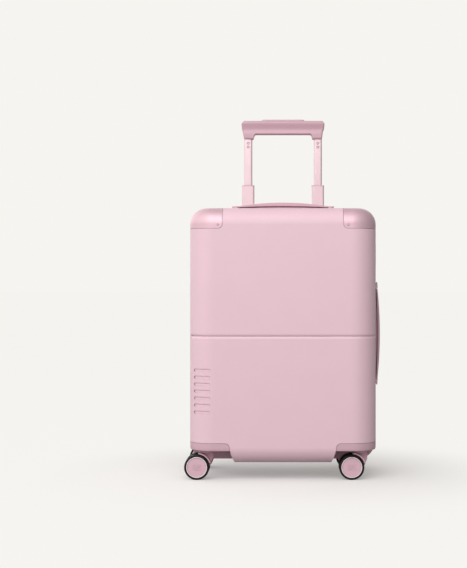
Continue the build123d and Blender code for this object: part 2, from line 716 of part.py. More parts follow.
def save_trolley():
    save("trolley_outer_tubes", outer_tubes())
    save("trolley_bezel", trolley_bezel())
    save("trolley_middle_tubes", middle_tubes())
    save("trolley_collars", collars())
    save("trolley_inner_tubes", inner_tubes())
    save("trolley_rivets", tube_rivets())
    save("trolley_grip", grip())
    save("trolley_button", trolley_button())


def save_fittings():
    """Carry handles, lock and zipper sliders, all on the back half."""
    base = handle_base()
    save("carry_handle_bases", [TOP_HANDLE * base, SIDE_HANDLE * base])
    save("top_handle_strap", TOP_HANDLE * handle_strap(TOP_HANDLE_RISE))
    save("side_handle_strap", SIDE_HANDLE * handle_strap(SIDE_HANDLE_RISE))
    save("lock_housing", lock_housing())
    for i, z in enumerate(DIAL_Z):
        save(f"lock_dial_{i + 1}", lock_dial(z))
    save("lock_button", lock_button())
    save("zipper_slider_upper", zipper_slider(UPPER_SLIDER_Z, -1))
    save("zipper_slider_lower", zipper_slider(LOWER_SLIDER_Z, 1))


def save_casters():
    """Four casters of six pieces: the outer wheel is the one nearer the case's face."""
    wheel = {"hub": hub(), "tyre": tyre()}
    frame_pieces = {"fork": fork(), "pins": pins()}
    for half, y in (("front", -CASTER_Y), ("back", CASTER_Y)):
        for side, x in (("left", -CASTER_X), ("right", CASTER_X)):
            place = Pos(x, y, 0)
            for name, piece in frame_pieces.items():
                solids = piece if isinstance(piece, list) else [piece]
                save(f"{half}_{side}_caster_{name}", [place * solid for solid in solids])
            for name, piece in wheel.items():
                flipped = mirror(piece, about=Plane.XZ)
                outer, inner = (flipped, piece) if half == "front" else (piece, flipped)
                save(f"{half}_{side}_outer_{name}", place * outer)
                save(f"{half}_{side}_inner_{name}", place * inner)


save_halves()
save_trolley()
save_fittings()
save_casters()
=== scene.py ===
import json
import math

import bmesh
import bpy
from mathutils import Matrix, Vector, noise


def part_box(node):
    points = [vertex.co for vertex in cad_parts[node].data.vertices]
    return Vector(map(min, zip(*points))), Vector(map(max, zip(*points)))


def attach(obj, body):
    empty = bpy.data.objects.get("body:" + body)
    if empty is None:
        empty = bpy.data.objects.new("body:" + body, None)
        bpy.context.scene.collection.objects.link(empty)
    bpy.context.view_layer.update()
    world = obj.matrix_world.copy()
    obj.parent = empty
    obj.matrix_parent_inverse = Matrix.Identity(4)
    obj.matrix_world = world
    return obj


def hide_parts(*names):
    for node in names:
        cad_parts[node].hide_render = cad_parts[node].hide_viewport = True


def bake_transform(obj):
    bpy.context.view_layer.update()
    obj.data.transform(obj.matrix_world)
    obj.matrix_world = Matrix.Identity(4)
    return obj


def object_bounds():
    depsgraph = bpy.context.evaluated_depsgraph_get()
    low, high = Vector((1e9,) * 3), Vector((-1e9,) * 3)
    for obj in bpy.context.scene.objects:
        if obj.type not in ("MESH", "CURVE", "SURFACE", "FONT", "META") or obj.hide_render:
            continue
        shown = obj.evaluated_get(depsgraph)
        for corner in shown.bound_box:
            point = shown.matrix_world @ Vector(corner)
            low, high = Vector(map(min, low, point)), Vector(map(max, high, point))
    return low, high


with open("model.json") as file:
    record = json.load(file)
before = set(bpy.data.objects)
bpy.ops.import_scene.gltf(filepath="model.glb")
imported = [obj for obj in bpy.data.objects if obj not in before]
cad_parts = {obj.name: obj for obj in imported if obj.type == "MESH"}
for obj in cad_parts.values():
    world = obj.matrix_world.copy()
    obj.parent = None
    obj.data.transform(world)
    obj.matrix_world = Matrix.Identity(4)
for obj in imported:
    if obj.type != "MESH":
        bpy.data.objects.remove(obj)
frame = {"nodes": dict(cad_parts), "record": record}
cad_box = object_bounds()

MM = 0.001
nodes = frame["nodes"]


# ---------------------------------------------------------------- colours and node helpers

def srgb(red, green, blue):
    """A colour given as 0 to 255 on screen, as the linear values that a shader takes."""
    def linear(value):
        value /= 255
        return value / 12.92 if value <= 0.04045 else ((value + 0.055) / 1.055) ** 2.4
    return (linear(red), linear(green), linear(blue), 1.0)


def scaled(colour, factor):
    return tuple(min(1.0, channel * factor) for channel in colour[:3]) + (1.0,)


class Tree:
    """A short way to add and link nodes in one material or world."""

    def __init__(self, tree):
        self.tree = tree
        tree.nodes.clear()

    def add(self, kind, inputs=None, **settings):
        node = self.tree.nodes.new(kind)
        for key, value in settings.items():
            setattr(node, key, value)
        for key, value in (inputs or {}).items():
            if isinstance(value, bpy.types.NodeSocket):
                self.tree.links.new(value, node.inputs[key])
            else:
                node.inputs[key].default_value = value
        return node

    def place(self, stretch=(1, 1, 1)):
        """The piece's own coordinates in metres, stretched along its axes."""
        coords = self.add("ShaderNodeTexCoord").outputs["Object"]
        return self.add("ShaderNodeMapping", {"Vector": coords, "Scale": stretch}).outputs[0]

    def noise(self, vector, size, detail=3.0, roughness=0.55):
        inputs = {"Vector": vector, "Scale": 1 / size, "Detail": detail, "Roughness": roughness}
        return self.add("ShaderNodeTexNoise", inputs).outputs["Fac"]

    def ramp(self, factor, low, high, at=(0.3, 0.7)):
        """A factor mapped to a range, with soft ends."""
        inputs = {"Value": factor, "From Min": at[0], "From Max": at[1], "To Min": low, "To Max": high}
        return self.add("ShaderNodeMapRange", inputs, interpolation_type="SMOOTHSTEP").outputs[0]

    def mix(self, factor, first, second):
        node = self.add("ShaderNodeMix", data_type="RGBA")
        for socket, value in (("Factor", factor), ("A", first), ("B", second)):
            wanted = [s for s in node.inputs if s.name == socket and s.enabled][0]
            if isinstance(value, bpy.types.NodeSocket):
                self.tree.links.new(value, wanted)
            else:
                wanted.default_value = value
        return [s for s in node.outputs if s.enabled][0]

    def math(self, operation, first, second=0.0):
        node = self.add("ShaderNodeMath", operation=operation)
        for index, value in enumerate((first, second)):
            if isinstance(value, bpy.types.NodeSocket):
                self.tree.links.new(value, node.inputs[index])
            else:
                node.inputs[index].default_value = value
        return node.outputs[0]

    def soft_edge(self, radius):
        """A normal that turns smoothly over sharp edges, as moulding and painting leave them."""
        return self.add("ShaderNodeBevel", {"Radius": radius}, samples=4).outputs[0]

    def creases(self, distance):
        """Painted shade from ambient occlusion: from 0 in a narrow gap to 1 on an open face."""
        node = self.add("ShaderNodeAmbientOcclusion", {"Distance": distance}, samples=6)
        return self.ramp(node.outputs["AO"], 0.0, 1.0, at=(0.25, 0.85))

    def bump(self, height, distance, strength=1.0, normal=None):
        inputs = {"Height": height, "Distance": distance, "Strength": strength}
        if normal is not None:
            inputs["Normal"] = normal
        return self.add("ShaderNodeBump", inputs).outputs[0]


def material(name):
    made = bpy.data.materials.new(name)
    made.use_nodes = True
    return made, Tree(made.node_tree)


def finish_material(tree, inputs):
    shader = tree.add("ShaderNodeBsdfPrincipled", inputs)
    tree.add("ShaderNodeOutputMaterial", {"Surface": shader.outputs[0]})


# painted shade: within this reach of another surface, colours darken towards this share of themselves
CREASE_REACH = 2.5 * MM
PAINTED_CREASE_SHADE = 0.45


def moulded(name, colour, rough, grain=0.4, depth=0.012, mottle=0.008, coat=0.0, edge=0.7):
    """Moulded plastic or sprayed paint: fine grain, faint mottling, slight rubbing and painted shade in
    narrow gaps and grooves.
    """
    made, tree = material(name)
    place = tree.place()
    fine = tree.noise(place, grain * MM, detail=2.0)
    broad = tree.noise(place, 55 * MM, detail=4.0)
    ripple = tree.noise(place, 9 * MM, detail=1.0)
    tone = tree.ramp(broad, 0.0, 1.0, at=(0.35, 0.65))
    clean = tree.mix(tone, scaled(colour, 1 - mottle), scaled(colour, 1 + mottle * 0.5))
    # painted shade: the colour darkens in narrow gaps, seams and grooves
    shade = tree.mix(tree.creases(CREASE_REACH), scaled(colour, PAINTED_CREASE_SHADE), clean)
    rub = tree.ramp(tree.noise(place, 3.5 * MM, detail=6.0, roughness=0.7), rough - 0.05, rough + 0.06)
    wavy = tree.bump(ripple, 0.012 * MM, strength=0.4, normal=tree.soft_edge(edge * MM))
    finish_material(tree, {
        "Base Color": shade,
        "Roughness": rub,
        "Coat Weight": coat,
        "Coat Roughness": 0.28,
        "Normal": tree.bump(fine, depth * MM, strength=0.9, normal=wavy),
    })
    return made


def metal_paint(name, colour, rough, metallic, brushed=(1, 1, 1), line=0.25, depth=0.004, coat=0.0):
    """Satin metal under a tinted finish, with fine lines along the way that it was brushed and painted shade
    in narrow gaps.
    """
    made, tree = material(name)
    place = tree.place(brushed)
    lines = tree.noise(place, line * MM, detail=3.0, roughness=0.6)
    broad = tree.noise(tree.place(), 30 * MM, detail=3.0)
    clean = tree.mix(tree.ramp(broad, 0.0, 1.0), scaled(colour, 0.985), scaled(colour, 1.01))
    # painted shade: the colour darkens in narrow gaps and seams between parts
    shade = tree.mix(tree.creases(CREASE_REACH), scaled(colour, PAINTED_CREASE_SHADE), clean)
    rub = tree.ramp(lines, rough - 0.04, rough + 0.06)
    finish_material(tree, {
        "Base Color": shade,
        "Metallic": metallic,
        "Roughness": rub,
        "Coat Weight": coat,
        "Coat Roughness": 0.16,
        "Normal": tree.bump(lines, depth * MM, strength=0.7, normal=tree.soft_edge(0.5 * MM)),
    })
    return made


def rubber(name, colour):
    """Black polyurethane tread, a little dusty in patches."""
    made, tree = material(name)
    place = tree.place()
    fine = tree.noise(place, 0.5 * MM, detail=4.0)
    dust = tree.ramp(tree.noise(place, 14 * MM, detail=5.0, roughness=0.65), 0.0, 0.3, at=(0.5, 0.8))
    shade = tree.mix(dust, colour, srgb(40, 37, 38))
    finish_material(tree, {
        "Base Color": shade,
        "Roughness": tree.ramp(fine, 0.45, 0.6),
        "Specular IOR Level": 0.35,
        "Normal": tree.bump(fine, 0.03 * MM, strength=0.8),
    })
    return made


def wave(tree, vector, direction, size):
    """Bands across a direction, one for each thread."""
    inputs = {
        "Vector": vector,
        "Scale": math.pi / 10 / size,
        "Distortion": 0.6,
        "Detail": 1.0,
        "Detail Scale": 2.0,
    }
    return tree.add("ShaderNodeTexWave", inputs, bands_direction=direction).outputs["Fac"]


def woven(name, colour, ways, pitch, depth, rough=0.85, raised_thread_shade=0.14, sheen=0.25):
    """Woven cloth: two sets of threads cross along two axes, with uneven dyeing, a soft sheen and painted
    shade that leaves raised threads lighter than the hollows.
    """
    made, tree = material(name)
    place = tree.place()
    warp = wave(tree, place, ways[0], pitch * MM)
    weft = wave(tree, place, ways[1], pitch * MM)
    over = tree.math("MAXIMUM", warp, weft)
    cross = tree.math("MULTIPLY", warp, weft)
    threads = tree.math("SUBTRACT", over, tree.math("MULTIPLY", cross, 0.5))
    slub = tree.noise(place, pitch * 3 * MM, detail=3.0, roughness=0.7)
    broad = tree.noise(place, 40 * MM, detail=3.0)
    # painted shade: the colour follows the threads' height, lighter on raised threads and darker in the
    # hollows between them
    raised = tree.ramp(threads, 0.0, 1.0, at=(0.1, 0.9))
    light = tree.mix(raised, scaled(colour, 1 - raised_thread_shade), scaled(colour, 1 + raised_thread_shade))
    uneven = tree.mix(tree.ramp(slub, 0.0, 0.5), light, scaled(colour, 0.9))
    shade = tree.mix(tree.ramp(broad, 0.0, 0.35), uneven, scaled(colour, 0.93))
    finish_material(tree, {
        "Base Color": shade,
        "Roughness": rough,
        "Sheen Weight": sheen,
        "Sheen Roughness": 0.5,
        "Specular IOR Level": 0.25,
        "Normal": tree.bump(threads, depth * MM, strength=0.9),
    })
    return made


# ---------------------------------------------------------------- stage, light and camera

BACKGROUND = srgb(246, 244, 240)
CAMERA_DISTANCE = 2.6
CAMERA_HEIGHT = 0.3815
FOCAL_PIXELS = 1344.7
FRAME_PIXELS = (467, 568)
SENSOR = 36.0
SHIFT_X = -0.0871


def make_camera():
    data = bpy.data.cameras.new("camera")
    data.sensor_width = SENSOR
    data.lens = FOCAL_PIXELS * SENSOR / max(FRAME_PIXELS)
    data.shift_x = SHIFT_X
    data.clip_end = 200
    camera = bpy.data.objects.new("camera", data)
    bpy.context.collection.objects.link(camera)
    front = cad_box[0][1]
    camera.location = (0, front - CAMERA_DISTANCE, CAMERA_HEIGHT)
    camera.rotation_euler = (math.pi / 2, 0, 0)
    bpy.context.scene.camera = camera


def make_world():
    """A studio of large soft sources: each lobe is a direction, a size and a strength, and all share one warm
    tint.
    """
    world = bpy.data.worlds.new("studio")
    bpy.context.scene.world = world
    world.use_nodes = True
    tree = Tree(world.node_tree)
    direction = tree.add("ShaderNodeTexCoord").outputs["Generated"]
    lobes = [
        ((-0.25, -0.90, 0.42), (0.15, 0.95), 0.80),
        ((0.00, -0.30, 1.00), (0.60, 1.00), 0.10),
        ((-1.00, 0.20, 0.00), (0.30, 0.95), 1.00),
        ((1.00, 0.10, 0.20), (0.10, 0.95), 0.08),
        ((-0.20, 1.00, 0.10), (0.45, 1.00), 1.00),
    ]
    total = 0.06
    for axis, (edge, full), strength in lobes:
        facing = tree.add("ShaderNodeVectorMath", operation="DOT_PRODUCT")
        tree.tree.links.new(direction, facing.inputs[0])
        facing.inputs[1].default_value = Vector(axis).normalized()
        lobe = tree.ramp(facing.outputs["Value"], 0.0, strength, at=(edge, full))
        total = tree.math("ADD", lobe, total)
    light = tree.add("ShaderNodeBackground", {"Color": (1.0, 0.985, 0.97, 1.0), "Strength": total})
    seen = tree.add("ShaderNodeBackground", {"Color": BACKGROUND, "Strength": 1.0})
    ray = tree.add("ShaderNodeLightPath").outputs["Is Camera Ray"]
    both = tree.add("ShaderNodeMixShader", {0: ray, 1: light.outputs[0], 2: seen.outputs[0]})
    tree.add("ShaderNodeOutputWorld", {"Surface": both.outputs[0]})


KEY_PLACE = (-0.4, -1.6, 1.5)
KEY_SIZE = 1.5
KEY_WATTS = 17.6


def make_key_light():
    """A soft box above the front left, which lights the top of the face more than its foot."""
    data = bpy.data.lights.new("key", "AREA")
    data.size = KEY_SIZE
    data.energy = KEY_WATTS
    data.color = (1.0, 0.985, 0.97)
    key = bpy.data.objects.new("key", data)
    bpy.context.collection.objects.link(key)
    key.location = KEY_PLACE
    key.rotation_euler = (Vector((0, 0, 0.3)) - Vector(KEY_PLACE)).to_track_quat("-Z", "Y").to_euler()


FLOOR_SHADE = 0.93
FLOOR_BOUNCE = 0.42
# painted light: the floor's share of glow near the case and far off, and the distances from the middle
# between which it rises
FLOOR_GLOW = (0.30, 0.97)
FLOOR_GLOW_FROM = (0.14, 0.55)
FLOOR_REACH = 60


def make_floor():
    """A pale matt floor, which throws less light back up than it shows: for the camera it mixes in a painted
    glow of the backdrop colour, which lifts its shadow near the case and grows further off.
    """
    made, tree = material("studio_floor")
    soft = tree.noise(tree.place(), 0.9, detail=2.0)
    warm = (FLOOR_SHADE, FLOOR_SHADE, FLOOR_SHADE * 0.985, 1)
    pale = tree.mix(soft, warm, (FLOOR_SHADE * 1.004,) * 3 + (1,))
    matt = tree.add("ShaderNodeBsdfDiffuse", {"Color": pale})
    glow = tree.add("ShaderNodeEmission", {"Color": BACKGROUND})
    away = tree.add("ShaderNodeVectorMath", {0: tree.place()}, operation="LENGTH").outputs["Value"]
    # painted light: the emission share lightens the shadow round the case and evens the floor out further off
    painted_glow_share = tree.ramp(away, FLOOR_GLOW[0], FLOOR_GLOW[1], at=FLOOR_GLOW_FROM)
    shown = tree.add("ShaderNodeMixShader", {0: painted_glow_share, 1: matt.outputs[0], 2: glow.outputs[0]})
    bounced = tree.add("ShaderNodeBsdfDiffuse", {"Color": (FLOOR_BOUNCE,) * 3 + (1,)})
    ray = tree.add("ShaderNodeLightPath").outputs["Is Camera Ray"]
    both = tree.add("ShaderNodeMixShader", {0: ray, 1: bounced.outputs[0], 2: shown.outputs[0]})
    tree.add("ShaderNodeOutputMaterial", {"Surface": both.outputs[0]})
    mesh = bpy.data.meshes.new("floor")
    corners = [(x * FLOOR_REACH, y * FLOOR_REACH, 0) for x, y in ((-1, -1), (1, -1), (1, 1), (-1, 1))]
    mesh.from_pydata(corners, [], [(0, 1, 2, 3)])
    mesh.materials.append(made)
    floor = bpy.data.objects.new("floor", mesh)
    bpy.context.collection.objects.link(floor)


# ---------------------------------------------------------------- materials

DOWN_THE_TUBE = (1, 1, 0.02)
SHELL_PINK = srgb(238, 203, 215)
TAPE_PINK = srgb(196, 158, 172)
LINING_ROSE = srgb(214, 194, 190)
WEBBING_ROSE = srgb(160, 122, 136)
MATERIALS = {
    "shell_plastic": moulded("shell_polycarbonate", SHELL_PINK, 0.46),
    "guard_metal": metal_paint("guard_metal", srgb(233, 197, 208), 0.48, 0.42),
    # painted shade: the housing's colour is a darker copy of the shell's pink, for the shade on its lower
    # skin as it curves under
    "housing_plastic": moulded("housing_plastic", srgb(214, 177, 189), 0.48, grain=0.5, depth=0.02),
    "rivet_metal": metal_paint("rivet_metal", srgb(226, 190, 201), 0.3, 0.5),
    "zipper_tape": woven("zipper_tape", TAPE_PINK, ("Y", "Z"), 0.7, 0.12),
    "lining_cloth": woven("lining_cloth", LINING_ROSE, ("X", "Z"), 0.9, 0.1, sheen=0.4),
    "strap_webbing": woven("strap_webbing", WEBBING_ROSE, ("X", "Z"), 1.3, 0.3, raised_thread_shade=0.2),
    "trolley_tube": metal_paint("trolley_tube", srgb(234, 208, 214), 0.34, 0.3,
                                brushed=DOWN_THE_TUBE, coat=0.8),
    "trim_plastic": moulded("trim_plastic", srgb(222, 186, 198), 0.5),
    "grip_plastic": moulded("grip_plastic", srgb(213, 177, 189), 0.5, grain=0.6, depth=0.03),
    "button_plastic": moulded("button_plastic", srgb(222, 185, 197), 0.4),
    "dial_metal": metal_paint("dial_metal", srgb(206, 178, 187), 0.35, 0.6),
    "lock_plastic": moulded("lock_plastic", srgb(210, 172, 185), 0.45),
    "slider_metal": metal_paint("slider_metal", srgb(210, 172, 184), 0.35, 0.6),
    "fork_plastic": moulded("fork_plastic", srgb(214, 173, 186), 0.5),
    "pin_steel": metal_paint("pin_steel", srgb(190, 190, 192), 0.3, 1.0),
    "hub_plastic": moulded("hub_plastic", srgb(227, 188, 201), 0.38, coat=0.15),
    "tyre_rubber": rubber("tyre_rubber", srgb(14, 13, 14)),
}
# a dark finish for two uses: painted shade in the rivet seats and the keyhole, and the printed digits and
# index marks of the lock
PAINTED_SHADE_AND_PRINT = moulded("painted_shade_and_print", srgb(70, 56, 62), 0.6)
BRIGHT_TRIM = metal_paint("bright_trim", srgb(255, 238, 244), 0.4, 0.0)


def dress_cad():
    """Gives every CAD node the material of its slot."""
    for part in frame["record"]["subparts"]:
        node = nodes[part["node"]]
        for slot in node.material_slots:
            slot.material = MATERIALS[part["material_slot"]]


# ---------------------------------------------------------------- mesh helpers

def add_piece(name, mesh, slot, body, replaces=(), crease=35.0, finish=None):
    """Links a mesh as a piece of the object, smooth except along its creases."""
    mesh.materials.clear()
    mesh.materials.append(finish or MATERIALS[slot])
    mesh.shade_smooth()
    mesh.set_sharp_from_angle(angle=math.radians(crease))
    piece = bpy.data.objects.new(name, mesh)
    bpy.context.collection.objects.link(piece)
    if body:
        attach(piece, body)
    if replaces:
        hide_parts(*replaces)
    return piece


def mesh_from(name, points, faces):
    mesh = bpy.data.meshes.new(name)
    mesh.from_pydata([tuple(p) for p in points], [], faces)
    mesh.validate()
    tidy = bmesh.new()
    tidy.from_mesh(mesh)
    bmesh.ops.recalc_face_normals(tidy, faces=tidy.faces)
    tidy.to_mesh(mesh)
    tidy.free()
    mesh.update()
    return mesh


def turned(count):
    """Equal steps once round a circle."""
    return [2 * math.pi * k / count for k in range(count)]


class Builder:
    """Gathers points and faces of many small shapes into one mesh."""

    def __init__(self):
        self.points = []
        self.faces = []

    def skin(self, rings, closed_way=False, caps=True):
        """Joins rings of equally many points, one after another."""
        start = len(self.points)
        size = len(rings[0])
        for ring in rings:
            self.points.extend(ring)
        last = len(rings) if closed_way else len(rings) - 1
        for i in range(last):
            a = start + i * size
            b = start + (i + 1) % len(rings) * size
            for k in range(size):
                n = (k + 1) % size
                self.faces.append((a + k, a + n, b + n, b + k))
        if caps and not closed_way:
            self.faces.append(tuple(start + k for k in range(size)))
            end = start + (len(rings) - 1) * size
            self.faces.append(tuple(end + k for k in reversed(range(size))))

    def tube(self, path, radius, sides=8, closed_way=False, caps=True):
        """A round rod along a path of points."""
        rings = []
        count = len(path)
        for i, point in enumerate(path):
            before = path[(i - 1) % count] if closed_way or i else path[i]
            after = path[(i + 1) % count] if closed_way or i < count - 1 else path[i]
            along = (Vector(after) - Vector(before)).normalized()
            side = along.orthogonal() if i == 0 else side - along * side.dot(along)
            side.normalize()
            other = along.cross(side)
            spokes = [side * math.cos(t) + other * math.sin(t) for t in turned(sides)]
            rings.append([Vector(point) + spoke * radius for spoke in spokes])
        self.skin(rings, closed_way, caps)

    def slab(self, centre, along, across, up, size, radius, lift=None, steps=4):
        """A bar with rounded corners and a softened upper rim, lying on the plane of two directions."""
        long_half, short_half, height = size[0] / 2, size[1] / 2, size[2]
        lift = min(radius, height) * 0.4 if lift is None else lift
        rings = []
        for inset, level in ((0, 0), (0, height - lift), (lift * 0.3, height - lift * 0.3), (lift, height)):
            ring = []
            for turn in range(4):
                sign_a = (1, -1, -1, 1)[turn]
                sign_b = (1, 1, -1, -1)[turn]
                for k in range(steps + 1):
                    angle = math.pi / 2 * (turn + k / steps)
                    reach = max(radius - inset, 0.0)
                    u = sign_a * (long_half - radius) + reach * math.cos(angle)
                    v = sign_b * (short_half - radius) + reach * math.sin(angle)
                    ring.append(Vector(centre) + along * u + across * v + up * level)
            rings.append(ring)
        self.skin(rings)

    def mesh(self, name):
        return mesh_from(name, self.points, self.faces)


def modified(mesh, *steps):
    """The mesh after modifiers, each given as a kind and its settings."""
    holder = bpy.data.objects.new("holder", mesh)
    bpy.context.collection.objects.link(holder)
    for kind, settings in steps:
        modifier = holder.modifiers.new(kind.lower(), kind)
        for key, value in settings.items():
            setattr(modifier, key, value)
    graph = bpy.context.evaluated_depsgraph_get()
    made = bpy.data.meshes.new_from_object(holder.evaluated_get(graph), depsgraph=graph)
    bpy.data.objects.remove(holder)
    return made


def cut(mesh, cutters):
    """The mesh less other meshes."""
    helpers = []
    steps = []
    for cutter in cutters:
        helper = bpy.data.objects.new("cutter", cutter)
        bpy.context.collection.objects.link(helper)
        helpers.append(helper)
        steps.append(("BOOLEAN", {"object": helper, "operation": "DIFFERENCE", "solver": "EXACT"}))
    made = modified(mesh, *steps)
    for helper in helpers:
        bpy.data.objects.remove(helper)
    return made


def box_mesh(low, high):
    shape = Builder()
    shape.skin([[(low[0], low[1], z), (high[0], low[1], z), (high[0], high[1], z), (low[0], high[1], z)]
                for z in (low[2], high[2])])
    return shape.mesh("box")


def wrinkle(point, size, seed):
    """Smooth noise from -1 to 1 at a place."""
    return noise.noise(Vector(point) / size + Vector((seed, seed * 1.7, seed * 0.3)))


X_AXIS = Vector((1, 0, 0))
Y_AXIS = Vector((0, 1, 0))
Z_AXIS = Vector((0, 0, 1))
HALVES = {"front": -1, "back": 1}


# ---------------------------------------------------------------- the rim where the halves meet

SHELL_LOW, SHELL_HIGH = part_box("front_shell")
RIM_RADIUS = 32 * MM
RIM_CENTRE = Vector((0, 0, (SHELL_LOW[2] + SHELL_HIGH[2]) / 2))
RIM_HALF = ((SHELL_HIGH[0] - SHELL_LOW[0]) / 2, (SHELL_HIGH[2] - SHELL_LOW[2]) / 2)
RIM_FLATS = [2 * (half - RIM_RADIUS) for half in RIM_HALF]
RIM_ARC = RIM_RADIUS * math.pi / 2
RIM_LENGTH = 2 * sum(RIM_FLATS) + 4 * RIM_ARC


def rim(distance):
    """A point on the body's outline at the parting line, and the ways outwards and along."""
    distance %= RIM_LENGTH
    for turn in range(4):
        angle = turn * math.pi / 2
        along = Vector((math.cos(angle), 0, math.sin(angle)))
        out = Vector((math.sin(angle), 0, -math.cos(angle)))
        flat = RIM_FLATS[turn % 2]
        to_edge = RIM_HALF[1 - turn % 2]
        if distance < flat:
            return RIM_CENTRE + out * to_edge + along * (distance - flat / 2), out, along
        distance -= flat
        if distance < RIM_ARC:
            corner = RIM_CENTRE + out * (to_edge - RIM_RADIUS) + along * (flat / 2)
            swing = distance / RIM_RADIUS
            outwards = out * math.cos(swing) + along * math.sin(swing)
            return corner + outwards * RIM_RADIUS, outwards, along * math.cos(swing) - out * math.sin(swing)
        distance -= RIM_ARC
    return rim(0.0)


def rim_stations(step):
    count = round(RIM_LENGTH / step)
    return [rim(RIM_LENGTH * i / count) for i in range(count)]


def rim_sweep(name, profile, step=4 * MM):
    """A profile of insets and depths, swept once round the rim."""
    rings = []
    for point, out, along in rim_stations(step):
        rings.append([point - out * inset * MM + Y_AXIS * y * MM for inset, y in profile])
    shape = Builder()
    shape.skin(rings, closed_way=True)
    return shape.mesh(name)


# ---------------------------------------------------------------- zipper and hinge cloth

TOOTH_PITCH = 1.7 * MM
TOOTH_SECTIONS = [(3.0, 0.40, 0.35, 1.00), (2.6, 0.62, 0.55, 0.45), (0.6, 0.62, 0.62, 0.45),
                  (-0.3, 0.68, 0.70, 0.45), (-0.75, 0.45, 0.40, 0.50)]
HINGE_Z = (85 * MM, 480 * MM)
STITCH_PITCH = 4.2 * MM
STITCH_ROWS = (6.0, 7.4)
STITCH_INSET = 4.36 * MM
STITCH_REACH = 1.35 * MM
STITCH_RADIUS = 0.28 * MM
TAPE_PROFILE = [(0.95, 0.35), (0.80, 0.9), (1.05, 1.6), (1.05, 3.1), (1.3, 3.4), (3.15, 3.6), (3.1, 8.3),
                (3.4, 8.5), (4.25, 8.4), (4.35, 8.0), (4.35, 4.0), (4.2, 0.6), (3.9, 0.35)]


def at_hinge(point):
    return point.x < 0 and HINGE_Z[0] < point.z < HINGE_Z[1]


def make_zipper():
    """Moulded teeth on both halves, which stop at the cloth hinge, with the woven tapes that hold them."""
    for half, way in HALVES.items():
        teeth = Builder()
        stitches = Builder()
        count = round(RIM_LENGTH / TOOTH_PITCH)
        shift = 0.0 if way > 0 else 0.5
        for i in range(count):
            point, out, along = rim(RIM_LENGTH * (i + shift) / count)
            if at_hinge(point):
                continue
            rings = []
            for y, wide, high, inset in TOOTH_SECTIONS:
                middle = point - out * inset * MM + Y_AXIS * y * way * MM
                turns = [math.pi / 4 * (k + 0.5) for k in range(8)]
                wide_way = along * wide * 0.55 * MM
                high_way = out * high * 0.75 * MM
                rings.append([middle + wide_way * math.cos(t) + high_way * math.sin(t) for t in turns])
            teeth.skin(rings)
        for i in range(round(RIM_LENGTH / STITCH_PITCH)):
            point, out, along = rim(i * STITCH_PITCH)
            for y in STITCH_ROWS:
                middle = point - out * STITCH_INSET + Y_AXIS * y * way * MM
                reach = along * STITCH_REACH
                sunk = middle - out * 0.15 * MM
                path = [middle - reach, sunk - reach * 0.6, sunk + reach * 0.6, middle + reach]
                stitches.tube(path, STITCH_RADIUS, sides=5)
        body = f"{half}_half"
        add_piece(f"{half}_zipper_teeth", teeth.mesh("teeth"), "trim_plastic", body, crease=50)
        add_piece(f"{half}_tape_stitching", stitches.mesh("stitches"), "zipper_tape", body)
        profile = [(inset, y * way) for inset, y in TAPE_PROFILE]
        tape = rim_sweep("tape", profile)
        add_piece(f"{half}_zipper_tape_woven", tape, "zipper_tape", body,
                  replaces=[f"{half}_zipper_tape"], crease=60)


def make_hinge_cloth():
    """The folded cloth that joins the halves on the left, sewn to both tapes."""
    inner = SHELL_LOW[0] + 4.9 * MM
    thick = 0.7 * MM
    reach = 8.0 * MM
    rings = []
    rows = 120
    columns = 13
    for i in range(rows + 1):
        z = HINGE_Z[0] + (HINGE_Z[1] - HINGE_Z[0]) * i / rows
        ring = []
        for side in (0, 1):
            line = range(columns) if side == 0 else reversed(range(columns))
            for k in line:
                t = k / (columns - 1) * 2 - 1
                rumple = 0.25 * MM * wrinkle((t * 0.01, 0, z), 9 * MM, 3.1) * (1 - t ** 4)
                bow = 1.2 * MM * (1 - t * t) + rumple
                ring.append(Vector((inner + bow + side * thick, t * reach, z)))
        rings.append(ring)
    shape = Builder()
    shape.skin(rings)
    piece = add_piece("hinge_cloth", shape.mesh("hinge_cloth"), "zipper_tape", None, crease=60)
    z = RIM_CENTRE.z
    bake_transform(piece)


# ---------------------------------------------------------------- trolley grip

GRIP_LOW, GRIP_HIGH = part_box("trolley_grip")
GRIP_Y = (GRIP_LOW[1] + GRIP_HIGH[1]) / 2
GRIP_TOP = GRIP_HIGH[2]
GRIP_UNDER = GRIP_TOP - 28.4 * MM
EAR_INNER = 61.7 * MM
EAR_FILLET = 6.5 * MM


def smooth_between(stops, value):
    """A smooth curve through stops of place and height, level at each stop."""
    if value <= stops[0][0]:
        return stops[0][1]
    for (a, low), (b, high) in zip(stops, stops[1:]):
        if value <= b:
            t = (value - a) / (b - a)
            return low + (high - low) * (3 * t * t - 2 * t ** 3)
    return stops[-1][1]


def grip_depth(drop):
    """Half the grip's depth at a distance below its top: full, waisted, then full again."""
    stops = [(0, 11.0), (4, 12.9), (19.5, 7.8), (27, 10.8), (30, 10.6), (38.3, 10.2)]
    return smooth_between(stops, drop / MM) * MM


def grip_reach(drop):
    """Half the grip's length at a distance below its top: its ends flare, then draw in to the ears."""
    stops = [(0, 84.0), (7, 86.6), (15, 86.0), (25, 82.8), (38.3, 81.6)]
    return smooth_between(stops, drop / MM) * MM


